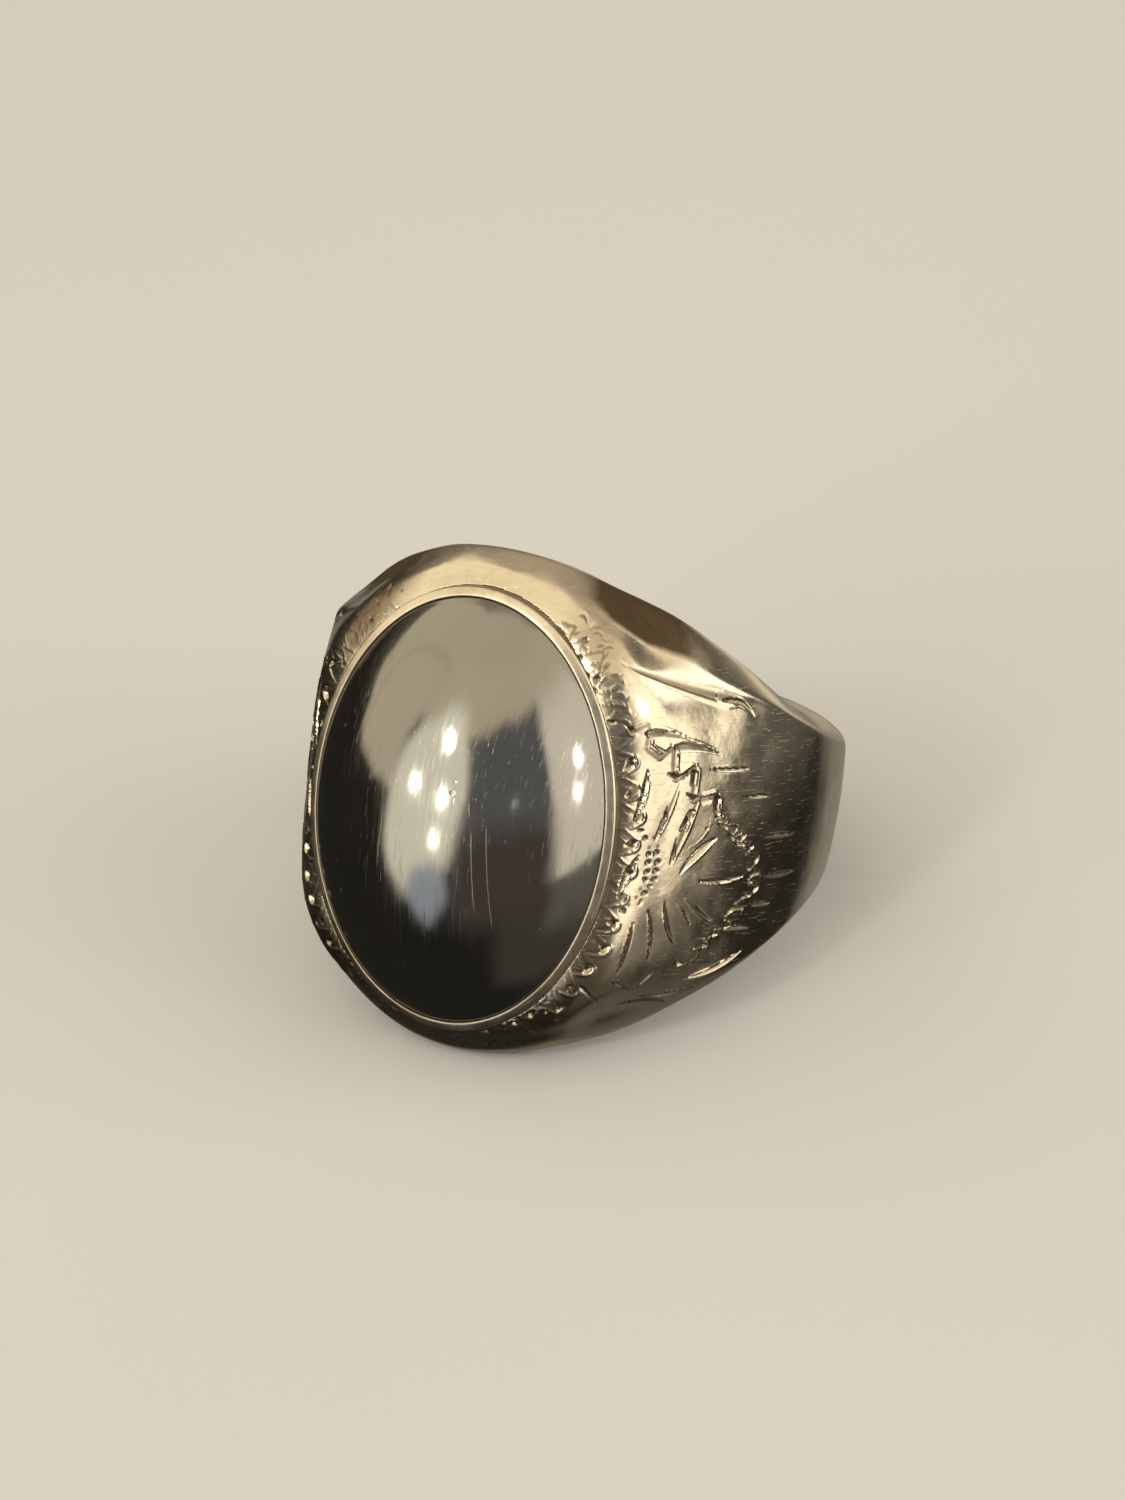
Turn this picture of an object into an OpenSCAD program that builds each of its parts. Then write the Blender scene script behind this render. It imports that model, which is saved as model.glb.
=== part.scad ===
// Heavy silver ring with a large oval cabochon in a thin rubbed-over bezel.
//
// The ring lies on its side, as it is put down on a table. The head is wider along the finger
// than the shank is, so the stone side is lifted and the stone looks forward and a little up.
// +Z is up, the stone faces -Y, X runs across the ring, and the origin is the centre of the
// finger bore. Units are millimetres.
//
// Every piece is drawn in ring axes first: the finger along Z, the stone facing -Y.
// A section of the hoop is given by its angle from the stone, 0 at the stone and 180 behind.

/* [Finger] */
// Radius of the finger bore
bore_radius = 9.7; // [8.2:0.05:9.85]

/* [Stone] */
// Half length of the stone along the finger
stone_half_length = 9.1; // [8:0.05:9.1]
// Half width of the stone across the finger
stone_half_width = 6.66; // [5.6:0.05:6.7]
// Height of the dome above its edge
dome_height = 4.0; // [2.5:0.1:5]
// How round the dome is, from a shallow cap near 0.3 to a full half ball at 1
dome_roundness = 0.9; // [0.3:0.05:0.95]

/* [Setting] */
// Wall thickness of the bezel
bezel_wall = 0.3; // [0.25:0.05:0.45]
// Thickness of the plate under the stone
plate_thickness = 0.5; // [0.3:0.05:0.5]
// Height of the step that the stone sits on
bearing_height = 0.6; // [0.4:0.05:0.6]
// Width of the step that the stone sits on
bearing_width = 0.8; // [0.5:0.05:1.5]

/* [Hoop] */
// Half width of the back of the shank along the finger
shank_half_width = 2.8; // [2.2:0.05:3.2]
// Half width of the head along the finger, at its widest edge
head_half_width = 10.85; // [10.6:0.05:11.4]
// Angle from the stone at which a shoulder is joined to the head
head_seam_angle = 38; // [37:1:44]
// Angle from the stone at which a shoulder is joined to the shank
shank_seam_angle = 104; // [98:1:125]

/* [Hidden] */

silver = "#b7a98f";
bright_silver = "#cdbfa2";
hematite = "#26272c";
cement = "#a39a86";

// Angles from the stone at which the hoop's section is given, and the section there:
// radius of the outer face on its middle line and at its rim, half width of the outer face,
// and half width of the widest edge, which lies low on the bevelled side.
station = [0, 14, 26, 32, 40, 50, 62, 76, 90, 108, 140, 180];
middle_radius = [12.4, 12.78, 13.75, 13.75, 12.95, 12.4, 12.1, 11.9, 11.75, 11.65, 11.55, 11.5];
rim_radius = [11.5, 11.7, 12.15, 12, 11.85, 11.75, 11.65, 11.6, 11.55, 11.5, 11.45, 11.4];
face_half = [10.05, 9.57, 8.45, 7.8, 7.3, 6.6, 5.8, 4.65, 3.6, 2.8, 2.7, shank_half_width - 0.05];
edge_half = [head_half_width, 10.6, 9.93, 9.58, 9.03, 8.1, 6.92, 5.35, 3.9, 2.9, 2.75,
             shank_half_width];

edge_radius = 10.3;
edge_slope = 0.42;              // how fast the side runs in from the widest edge to the bore
core_radius = bore_radius - 0.6;

flat_crown = 9;                 // power of the nearly flat face across the head
round_crown = 2.2;              // power of the arched face across the shoulders
crown_rows = 10;
head_rows = 26;
shoulder_rows = 44;
shank_rows = 17;

outline_sides = 96;
setting_floor = 10.35;          // height of the setting's underside over the bore's axis
plate_top = setting_floor + plate_thickness;
seat = plate_top + bearing_height;
girdle = 12.4;                  // height at which the stone's dome starts
lip_height = girdle + 0.3;
fit_gap = 0.01;
bezel_half_length = stone_half_length + bezel_wall;
bezel_half_width = stone_half_width + bezel_wall;

// The hoop lies on the widest edge of the head in front and on the shank behind.
rest_tilt = atan((head_half_width - shank_half_width) / (edge_radius + middle_radius[11]));

// A smooth curve through the values given at the stations.
function place(angle, i = 0) =
    i >= len(station) - 2 || angle < station[i + 1] ? i : place(angle, i + 1);
function slope(values, i) =
    i == 0 || i == len(station) - 1 ? 0
    : (values[i + 1] - values[i - 1]) / (station[i + 1] - station[i - 1]);
function along(values, angle) =
    let (i = place(angle), run = station[i + 1] - station[i], u = (angle - station[i]) / run)
    values[i] * (1 + 2 * u) * pow(1 - u, 2) + slope(values, i) * run * u * pow(1 - u, 2)
    + values[i + 1] * u * u * (3 - 2 * u) - slope(values, i + 1) * run * u * u * (1 - u);

// The face is nearly flat across the head and arched across the shoulders and the shank.
function crown_power(angle) =
    let (u = min(1, max(0, (angle - 12) / 38))) flat_crown + (round_crown - flat_crown) * u;
function face_radius(angle, part) =
    let (rim = along(rim_radius, angle), middle = along(middle_radius, angle))
    rim + (middle - rim) * (1 - pow(abs(part), crown_power(angle)));

// One section of the hoop as [radius, height] points, counter-clockwise from the bore's top.
function section(angle) =
    let (face = along(face_half, angle), edge = along(edge_half, angle))
    let (inner = edge - (edge_radius - core_radius) * edge_slope)
    concat(
        [[core_radius, inner], [core_radius, -inner], [edge_radius, -edge]],
        [for (k = [-crown_rows:crown_rows])
            let (part = sin(90 * k / crown_rows)) [face_radius(angle, part), face * part]],
        [[edge_radius, edge]]);

// A point of the hoop: a positive angle turns from the stone towards +X.
function hoop_point(angle, p) = [p[0] * sin(angle), -p[0] * cos(angle), p[1]];

// A length of hoop between two angles, still solid where the finger goes.
module hoop_length(start, end, rows) {
    sections = [for (i = [0:rows]) let (a = start + (end - start) * i / rows)
        [for (p = section(abs(a))) hoop_point(a, p)]];
    count = len(sections[0]);
    polyhedron(
        points = [for (ring = sections) each ring],
        faces = concat(
            [[for (j = [count - 1:-1:0]) j]],
            [[for (j = [0:count - 1]) rows * count + j]],
            [for (i = [0:rows - 1], j = [0:count - 1])
                let (a = i * count + j, b = i * count + (j + 1) % count)
                each [[a, b, a + count], [b, b + count, a + count]]]));
}

module finger_bore() {
    cylinder(r = bore_radius, h = 4 * head_half_width, center = true, $fn = 128);
}

// A length of hoop with the finger's space cut out of it.
module bored_length(start, end, rows) {
    difference() {
        hoop_length(start, end, rows);
        finger_bore();
    }
}

// Everything on the +X side from the stone's direction round to an angle.
module sector(angle) {
    rotate([0, 0, -90])
        rotate_extrude(angle = angle, $fn = 64)
            translate([0, -2 * head_half_width])
                square([3 * bore_radius, 4 * head_half_width]);
}

// An oval outline in the plane of the setting, seen from the stone's side.
function oval(half_width, half_length) =
    [for (k = [0:outline_sides - 1]) let (a = 360 * k / outline_sides)
        [half_width * cos(a), half_length * sin(a)]];

// An upright oval block of the setting between two heights over the bore's axis.
module oval_block(half_width, half_length, bottom, top) {
    rotate([90, 0, 0])
        translate([0, 0, bottom])
            linear_extrude(height = top - bottom)
                polygon(oval(half_width, half_length));
}

// A closed oval shape swept from [inset, height] points, outermost outline first.
module oval_ring(half_width, half_length, profile) {
    count = len(profile);
    rings = [for (p = profile) oval(half_width - p[0], half_length - p[0])];
    polyhedron(
        points = [for (i = [0:count - 1]) each
            [for (q = rings[i]) [q[0], -profile[i][1], q[1]]]],
        faces = [for (i = [0:count - 1], k = [0:outline_sides - 1])
            let (next = (k + 1) % outline_sides, low = i * outline_sides)
            let (high = ((i + 1) % count) * outline_sides)
            each [[low + k, high + k, low + next], [low + next, high + k, high + next]]]);
}

// Height of the dome over its edge, as a part of its full height, at a part of its radius.
function dome(part) =
    let (edge = sqrt(1 - pow(dome_roundness, 2)))
    (sqrt(1 - pow(dome_roundness * part, 2)) - edge) / (1 - edge);

module at_rest() {
    rotate([-rest_tilt, 0, 0])
        children();
}

// Crown of the ring: the oval frame that the setting is let into.
module head() {
    color(silver)
        at_rest()
            difference() {
                bored_length(-head_seam_angle, head_seam_angle, head_rows);
                oval_block(bezel_half_width + fit_gap, bezel_half_length + fit_gap,
                           setting_floor, 2 * girdle);
            }
}

// Tapered, arched shoulder with bevelled sides.
module shoulder(side) {
    color(silver)
        at_rest()
            mirror([side < 0 ? 1 : 0, 0, 0])
                intersection() {
                    bored_length(head_seam_angle, 180, shoulder_rows);
                    sector(shank_seam_angle);
                }
}

module left_shoulder() {
    shoulder(-1);
}

module right_shoulder() {
    shoulder(1);
}

// Narrow back of the hoop.
module shank() {
    color(silver)
        at_rest()
            union() {
                bored_length(shank_seam_angle, 180, shank_rows);
                mirror([1, 0, 0])
                    bored_length(shank_seam_angle, 180, shank_rows);
            }
}

// Floor of the setting, inside the bezel.
module base_plate() {
    color(silver)
        at_rest()
            oval_block(stone_half_width, stone_half_length, setting_floor, plate_top);
}

// Step around the inside of the bezel that carries the stone's edge.
module bearing() {
    color(silver)
        at_rest()
            difference() {
                oval_block(stone_half_width, stone_half_length, plate_top, seat);
                oval_block(stone_half_width - bearing_width, stone_half_length - bearing_width,
                           plate_top - 1, seat + 1);
            }
}

// Bed of cement inside the step, under the stone.
module setting_cement() {
    color(cement)
        at_rest()
            oval_block(stone_half_width - bearing_width, stone_half_length - bearing_width,
                       plate_top, seat);
}

// Thin collar around the stone, its top rubbed over the stone's edge.
module bezel() {
    color(bright_silver)
        at_rest()
            oval_ring(bezel_half_width, bezel_half_length, [
                [0, setting_floor],
                [0, girdle + 0.1],
                [bezel_wall * 0.25, lip_height - 0.08],
                [bezel_wall * 0.65, lip_height],
                [bezel_wall * 1.1, lip_height - 0.04],
                [bezel_wall + fit_gap * 3, girdle + 0.12],
                [bezel_wall, girdle],
                [bezel_wall, setting_floor]]);
}

// Oval domed stone with a straight edge below the dome.
module cabochon() {
    rings = 14;
    shrink = fit_gap * 2;
    outline = concat(
        [[0.03, seat], [0, seat + 0.2]],
        [for (i = [0:rings - 1]) let (part = cos(90 * i / rings))
            [1 - part, girdle + dome_height * dome(part)]]);
    count = len(outline);
    color(hematite)
        at_rest()
            polyhedron(
                points = concat(
                    [for (p = outline) each
                        [for (q = oval((stone_half_width - shrink) * (1 - p[0]),
                                       (stone_half_length - shrink) * (1 - p[0])))
                            [q[0], -p[1], q[1]]]],
                    [[0, -(girdle + dome_height), 0]]),
                faces = concat(
                    [[for (k = [0:outline_sides - 1]) k]],
                    [for (i = [0:count - 2], k = [0:outline_sides - 1])
                        let (next = (k + 1) % outline_sides, low = i * outline_sides)
                        let (high = low + outline_sides)
                        each [[low + k, high + k, low + next],
                              [low + next, high + k, high + next]]],
                    [for (k = [0:outline_sides - 1])
                        let (next = (k + 1) % outline_sides, low = (count - 1) * outline_sides)
                        [low + k, count * outline_sides, low + next]]));
}

head();
left_shoulder();
right_shoulder();
shank();
base_plate();
bearing();
setting_cement();
bezel();
cabochon();
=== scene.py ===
"""A heavy silver ring with an oval hematite cabochon, lying on its side on a pale floor.

The hoop, the bezel and the stone are rebuilt here as fine meshes on the same curves as the CAD
part, with the hand engraving cut into them. The pieces hidden in the setting keep their CAD mesh.

Lengths are millimetres in ring axes until to_world() turns them into metres in the CAD frame:
x runs across the ring, s from the bore's axis towards the stone, and t along the finger.
A place on the hoop is an angle in degrees from the stone, positive on the +X side, and t.
"""

import math

import bpy
import numpy as np
from mathutils import Matrix, Vector


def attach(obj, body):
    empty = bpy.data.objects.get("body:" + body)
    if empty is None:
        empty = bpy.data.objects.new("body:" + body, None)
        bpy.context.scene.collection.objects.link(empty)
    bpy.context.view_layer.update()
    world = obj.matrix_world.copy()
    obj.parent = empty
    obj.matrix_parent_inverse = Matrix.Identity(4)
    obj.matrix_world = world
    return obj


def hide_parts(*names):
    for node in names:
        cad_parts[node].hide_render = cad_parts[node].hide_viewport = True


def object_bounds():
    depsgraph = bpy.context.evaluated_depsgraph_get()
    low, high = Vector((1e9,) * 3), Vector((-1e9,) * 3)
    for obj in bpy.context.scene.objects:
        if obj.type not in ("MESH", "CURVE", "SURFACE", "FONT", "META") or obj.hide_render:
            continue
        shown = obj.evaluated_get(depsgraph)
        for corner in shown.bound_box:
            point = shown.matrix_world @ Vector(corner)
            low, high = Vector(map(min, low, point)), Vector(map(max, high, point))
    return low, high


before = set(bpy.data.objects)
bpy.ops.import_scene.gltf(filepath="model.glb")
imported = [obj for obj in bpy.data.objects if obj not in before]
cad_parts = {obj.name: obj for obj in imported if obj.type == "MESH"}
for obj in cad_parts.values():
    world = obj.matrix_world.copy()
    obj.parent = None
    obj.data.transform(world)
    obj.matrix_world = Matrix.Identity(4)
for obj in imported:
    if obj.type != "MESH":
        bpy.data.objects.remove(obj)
cad_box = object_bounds()

MM = 0.001

# ---------------------------------------------------------------- camera

CAMERA_DISTANCE = 0.130
CAMERA_AZIMUTH = 26.1        # degrees from -Y towards +X
CAMERA_ELEVATION = 32.2
CAMERA_YAW = -0.39           # degrees that the lens points right of the bore's centre
CAMERA_PITCH = 0.24          # degrees that the lens points over the bore's centre
CAMERA_ROLL = 1.4
LENS = 69.4
SENSOR = 36.0


def add_camera():
    """The camera looks at the ring from the front right, a little above the stone."""
    azimuth = math.radians(CAMERA_AZIMUTH)
    elevation = math.radians(CAMERA_ELEVATION)
    out = Vector((math.sin(azimuth) * math.cos(elevation),
                  -math.cos(azimuth) * math.cos(elevation),
                  math.sin(elevation)))
    right = Vector((math.cos(azimuth), math.sin(azimuth), 0))
    facing = Matrix((right, out.cross(right), out)).transposed()
    turn = (Matrix.Rotation(math.radians(-CAMERA_YAW), 3, "Y")
            @ Matrix.Rotation(math.radians(CAMERA_PITCH), 3, "X")
            @ Matrix.Rotation(math.radians(-CAMERA_ROLL), 3, "Z"))
    data = bpy.data.cameras.new("camera")
    data.sensor_fit = "VERTICAL"
    data.sensor_height = SENSOR
    data.lens = LENS
    data.clip_start = 0.005
    data.clip_end = 20
    camera = bpy.data.objects.new("camera", data)
    camera.matrix_world = Matrix.Translation(out * CAMERA_DISTANCE) @ (facing @ turn).to_4x4()
    bpy.context.scene.collection.objects.link(camera)
    bpy.context.scene.camera = camera


# ---------------------------------------------------------------- the hoop's curves

BORE_RADIUS = 9.7
STONE_HALF_LENGTH = 9.1
STONE_HALF_WIDTH = 6.66
DOME_HEIGHT = 4.0
DOME_ROUNDNESS = 0.9
BEZEL_WALL = 0.3
HEAD_HALF_WIDTH = 10.85
SHANK_HALF_WIDTH = 2.8
HEAD_SEAM = 38
SHANK_SEAM = 104
SETTING_FLOOR = 10.35
SEAT = 11.45
GIRDLE = 12.4
EDGE_RADIUS = 10.3
EDGE_SLOPE = 0.42
FLAT_CROWN = 9
ROUND_CROWN = 2.2
CROWN_START = 6              # degrees from the stone between which the crown grows round (12, 50 in CAD)
CROWN_END = 62
FIT_GAP = 0.01

# Angles from the stone, and the section there. The tables were fitted by a script to the ring's
# outlines in the photo, then rounded and smoothed by hand. They are the CAD part's, except that the
# middle radius differs by up to 0.11 mm from 40 to 76 degrees.
STATION = np.array([0, 14, 26, 32, 40, 50, 62, 76, 90, 108, 140, 180], float)
MIDDLE_RADIUS = np.array([12.4, 12.78, 13.75, 13.75, 13.06, 12.44, 12.05, 11.88, 11.75, 11.65,
                          11.55, 11.5])
RIM_RADIUS = np.array([11.5, 11.7, 12.15, 12, 11.85, 11.75, 11.65, 11.6, 11.55, 11.5, 11.45, 11.4])
FACE_HALF = np.array([10.05, 9.57, 8.45, 7.8, 7.3, 6.6, 5.8, 4.65, 3.6, 2.8, 2.7,
                      SHANK_HALF_WIDTH - 0.05])
EDGE_HALF = np.array([HEAD_HALF_WIDTH, 10.6, 9.93, 9.58, 9.03, 8.1, 6.92, 5.35, 3.9, 2.9, 2.75,
                      SHANK_HALF_WIDTH])

REST_TILT = math.atan((HEAD_HALF_WIDTH - SHANK_HALF_WIDTH) / (EDGE_RADIUS + MIDDLE_RADIUS[-1]))
BEZEL_HALF_LENGTH = STONE_HALF_LENGTH + BEZEL_WALL
BEZEL_HALF_WIDTH = STONE_HALF_WIDTH + BEZEL_WALL


def along(values, angle):
    """The smooth curve through the values given at the stations."""
    angle = np.abs(angle)
    i = np.clip(np.searchsorted(STATION, angle, side="right") - 1, 0, len(STATION) - 2)
    run = STATION[i + 1] - STATION[i]
    u = (angle - STATION[i]) / run
    slope = np.zeros(len(STATION))
    slope[1:-1] = (values[2:] - values[:-2]) / (STATION[2:] - STATION[:-2])
    return (values[i] * (1 + 2 * u) * (1 - u) ** 2 + slope[i] * run * u * (1 - u) ** 2
            + values[i + 1] * u * u * (3 - 2 * u) - slope[i + 1] * run * u * u * (1 - u))


def face_radius(angle, part):
    """Radius of the outer face at a part of its half width."""
    change = np.clip((np.abs(angle) - CROWN_START) / (CROWN_END - CROWN_START), 0, 1)
    power = FLAT_CROWN + (ROUND_CROWN - FLAT_CROWN) * change * change * (3 - 2 * change)
    rim = along(RIM_RADIUS, angle)
    return rim + (along(MIDDLE_RADIUS, angle) - rim) * (1 - np.abs(part) ** power)


def dome(part):
    """Height of the stone's dome as a part of its full height, at a part of its radius."""
    edge = math.sqrt(1 - DOME_ROUNDNESS ** 2)
    return (np.sqrt(1 - (DOME_ROUNDNESS * part) ** 2) - edge) / (1 - edge)


def to_world(points):
    """Ring axes in millimetres to the CAD frame in metres."""
    x, s, t = np.moveaxis(points, -1, 0)
    cos, sin = math.cos(REST_TILT), math.sin(REST_TILT)
    return np.stack([x, t * sin - s * cos, s * sin + t * cos], -1) * MM


# ---------------------------------------------------------------- meshes

def mesh_piece(name, points, quads, fields, caps=()):
    """A smooth-shaded mesh object with a float field per vertex for its material."""
    mesh = bpy.data.meshes.new(name)
    # to_world() mirrors the axes, so each face is turned round to keep its outside outward.
    faces = [tuple(q)[::-1] for q in quads] + [tuple(c)[::-1] for c in caps]
    mesh.from_pydata([tuple(p) for p in to_world(points)], [], faces)
    for field, values in fields.items():
        kind = "FLOAT_VECTOR" if values.ndim == 2 else "FLOAT"
        layer = mesh.attributes.new(field, kind, "POINT")
        layer.data.foreach_set("vector" if values.ndim == 2 else "value",
                               values.astype(np.float32).ravel())
    mesh.shade_smooth()
    mesh.set_sharp_from_angle(angle=math.radians(60))
    piece = bpy.data.objects.new(name, mesh)
    bpy.context.scene.collection.objects.link(piece)
    return piece


def grid_quads(rows, columns):
    """Quads of a grid that is closed along its columns' direction and open along its rows."""
    row = np.arange(rows - 1)[:, None] * columns
    column = np.arange(columns)[None, :]
    after = (column + 1) % columns
    return np.stack([row + column, row + after, row + columns + after, row + columns + column],
                    -1).reshape(-1, 4)


def grid_normals(points):
    """Outward normals of a grid of sections that are closed along axis 1."""
    across = np.roll(points, -1, 1) - np.roll(points, 1, 1)
    length = np.gradient(points, axis=0)
    normal = np.cross(across, length)
    return normal / np.maximum(np.linalg.norm(normal, axis=-1, keepdims=True), 1e-12)


def waves(u, t, size, count, seed):
    """Smooth hand-made unevenness between about -1 and 1, with features of about that size."""
    rng = np.random.default_rng(seed)
    total = np.zeros(np.shape(u))
    for _ in range(count):
        turn = rng.uniform(0, 2 * math.pi)
        stretch = 2 * math.pi / (size * rng.uniform(0.7, 1.6))
        shift = rng.uniform(0, 2 * math.pi)
        total += np.sin((u * math.cos(turn) + t * math.sin(turn)) * stretch + shift)
    return total / math.sqrt(2 * count)


# ---------------------------------------------------------------- engraving

# Places are (u, t) in millimetres: round the hoop from the stone, and along the finger. Most of those
# given as plain numbers were measured in the photo, mapped onto the ring by a script, and rounded.
ARC = 13.5                   # millimetres of engraved face per radian round the hoop
OVAL_HALF_WIDTH = 7.0        # the bezel's outline laid flat on that face
OVAL_HALF_LENGTH = BEZEL_HALF_LENGTH
GRAVER_LEAN = 0.45           # how far a cut's bottom lies off its middle line, in half widths
BURR = 0.3                   # height of the metal pushed up beside a cut's steep wall, in cut depths


def taper_point(s):
    """Cut that starts and ends in a point."""
    return 0.1 + 0.9 * np.sin(math.pi * s) ** 0.8


def taper_wedge(s):
    """Cut that starts wide and runs out to a point."""
    return 0.08 + 0.92 * (1 - s) ** 0.9 * np.minimum(1, 0.35 + 5 * s)


def taper_line(s):
    """Cut of even width."""
    return np.minimum(1, 0.4 + 5 * np.minimum(s, 1 - s))


def curve(start, end, bend=0.0, count=7):
    """Points from start to end, bowed sideways by a part of the length."""
    start = np.array(start, float)
    end = np.array(end, float)
    s = np.linspace(0, 1, count)[:, None]
    side = np.array([start[1] - end[1], end[0] - start[0]])
    return start + (end - start) * s + side * bend * 4 * s * (1 - s)


def off_oval(phase, offset):
    """Place on the face at an offset out from the bezel's outline; phase 0 is at mid side."""
    cos, sin = math.cos(phase), math.sin(phase)
    out = np.array([cos * OVAL_HALF_LENGTH, sin * OVAL_HALF_WIDTH])
    out = out / np.linalg.norm(out)
    return np.array([cos * OVAL_HALF_WIDTH, sin * OVAL_HALF_LENGTH]) + out * offset


def around(centre, radius, degrees):
    """Place at a distance and a direction from a centre."""
    turn = math.radians(degrees)
    return np.array([centre[0] + radius * math.cos(turn), centre[1] + radius * math.sin(turn)])


def chain(corners, width, depth, taper=taper_line):
    """Straight cuts from corner to corner."""
    return [(curve(first, second, 0, 3), width, depth, taper)
            for first, second in zip(corners[:-1], corners[1:])]


def wolf_teeth(rng):
    """Broad wedges that point at the bezel, with a thin cut from each to the next."""
    strokes = []
    phase, last = 0.5, -0.86
    while phase > last:
        step = rng.uniform(1.0, 1.2) / OVAL_HALF_LENGTH
        outer = off_oval(phase, rng.uniform(0.8, 0.98))
        inner = off_oval(phase - 0.55 * step, rng.uniform(0.04, 0.12))
        after = off_oval(phase - step, 0.85)
        strokes.append((curve(outer, inner, rng.uniform(0.02, 0.12)), 0.27, 0.2, taper_wedge))
        strokes.append((curve(inner, after, rng.uniform(-0.12, 0.02)), 0.1, 0.1, taper_line))
        notch = off_oval(phase - 0.75 * step, 0.12)
        strokes.append((curve(off_oval(phase - 0.9 * step, 0.5), notch), 0.12, 0.09, taper_wedge))
        phase -= step
    return strokes


def notch_cluster(rng, first, last, reach, count):
    """Crowded curls and notches beside an end of the stone, joined by a rough zigzag."""
    strokes = []
    corner = off_oval(first, 0.1)
    for k in range(count):
        phase = first + (last - first) * (k + 1) / count
        after = off_oval(phase, rng.uniform(0.6, 1.0) * reach if k % 2 else rng.uniform(0.05, 0.2))
        strokes.append((curve(corner, after, rng.uniform(-0.25, 0.25)), 0.11, 0.11, taper_line))
        for _ in range(2):
            start = off_oval(phase + rng.uniform(-0.04, 0.04), rng.uniform(0.1, 1.0) * reach)
            end = around(start, rng.uniform(0.35, 0.65), rng.uniform(-50, 60))
            width = rng.uniform(0.08, 0.15)
            strokes.append((curve(start, end, rng.uniform(-0.35, 0.35)), width, 0.9 * width,
                            taper_point))
        corner = after
    return strokes


def dot_crescent(rng):
    """Two rows of punched dots between the teeth and the half flower."""
    strokes = []
    guide = np.array([(8.0, 0.7), (8.45, 0.0), (8.6, -0.75), (8.5, -1.45), (8.2, -2.1), (7.7, -2.75)])
    count = 11
    place = np.linspace(0, len(guide) - 1, count)
    for k, at in enumerate(place):
        spot = np.array([np.interp(at, range(len(guide)), guide[:, i]) for i in (0, 1)])
        for gap in (0, 0.42):
            if gap and k in (0, count - 1):
                continue
            dot = spot + [gap, 0.1 * gap] + rng.uniform(-0.05, 0.05, 2)
            strokes.append((curve(dot, dot + [0.02, 0.02], count=2), 0.13, 0.12, np.ones_like))
    return strokes


def half_flower():
    """Long leaning cuts that fan out from beside the dots."""
    petals = [
        # start, end, bow, half width, depth
        ((7.95, 3.3), (7.65, 1.1), 0.04, 0.13, 0.13),
        ((8.1, -0.3), (7.45, -2.1), -0.06, 0.14, 0.13),
        ((9.55, 2.75), (8.7, 0.2), 0.02, 0.12, 0.12),
        ((10.75, 2.1), (9.65, -0.85), -0.03, 0.2, 0.15),
        ((11.6, 0.95), (10.55, -0.15), 0.05, 0.09, 0.08),
        ((12.0, 0.2), (10.25, -1.2), -0.06, 0.17, 0.13),
        ((14.1, -1.6), (11.3, -1.62), 0.03, 0.13, 0.1),
        ((12.5, -3.5), (10.55, -2.1), 0.03, 0.11, 0.08),
        ((11.3, -3.6), (10.1, -2.3), -0.05, 0.07, 0.06),
        ((10.5, -4.25), (9.7, -2.35), 0.08, 0.13, 0.09),
        ((9.3, -4.9), (8.9, -2.65), -0.05, 0.12, 0.09),
        ((7.9, -5.5), (8.25, -3.2), -0.03, 0.11, 0.1)]
    return [(curve(start, end, bow), width, depth, taper_point)
            for start, end, bow, width, depth in petals]


def arch(rng):
    """Stepped zigzag round the half flower: bold corners above, small and ragged ones below."""
    bold = [(7.1, 4.8), (7.8, 5.15), (7.75, 4.1), (8.45, 3.7), (9.05, 4.15), (9.15, 3.1),
            (9.5, 2.8), (10.3, 3.3), (10.3, 2.0), (10.75, 1.85), (11.75, 2.0), (11.8, 1.1)]
    strokes = chain(bold, 0.17, 0.16)
    for corner in ((7.2, 4.75), (8.5, 3.8), (9.45, 2.9), (10.5, 1.95)):
        end = around(corner, 0.6, rng.uniform(120, 170))
        strokes.append((curve(corner, end), 0.13, 0.13, taper_wedge))
    guide = np.array([(11.8, 1.1), (13.2, 0.35), (14.5, -0.9), (14.8, -2.1), (13.9, -3.3),
                      (12.7, -4.35), (11.3, -5.2)])
    corner = guide[0]
    count = 26
    for k in range(1, count + 1):
        at = (len(guide) - 1) * k / count
        spot = np.array([np.interp(at, range(len(guide)), guide[:, i]) for i in (0, 1)])
        swing = (0.4 if k % 2 else -0.4) * rng.uniform(0.7, 1.2)
        after = spot + np.array([swing, 0.5 * swing * rng.uniform(-1, 1)])
        strokes.append((curve(corner, after, rng.uniform(-0.2, 0.2)), 0.085, 0.09, taper_line))
        if k % 2:
            end = around(after, 0.35, rng.uniform(0, 360))
            strokes.append((curve(after, end), 0.1, 0.09, taper_wedge))
        corner = after
    return strokes


def leaf_cuts():
    """Two long blade-like wedges over the arch."""
    return [(curve((7.7, 4.75), (9.95, 4.35), 0.05), 0.23, 0.2, taper_wedge),
            (curve((9.1, 4.15), (11.7, 3.72), 0.05), 0.25, 0.2, taper_wedge),
            (curve((8.0, 4.35), (8.9, 3.9), -0.05), 0.07, 0.06, taper_point)]


def rays(rng):
    """Short dashes that run round the hoop outside the arch."""
    dashes = [(11.1, 3.15, 2.5), (13.3, 1.85, 1.8), (14.9, 0.05, 2.5), (15.4, -1.75, 2.8),
              (14.9, -2.95, 1.6), (13.3, -4.0, 2.0), (11.5, -5.3, 1.9)]
    strokes = []
    for u, t, length in dashes:
        end = (u + length, t + rng.uniform(-0.15, 0.05))
        strokes.append((curve((u, t), end, rng.uniform(-0.04, 0.04)), 0.1, 0.07, taper_point))
    return strokes


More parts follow.
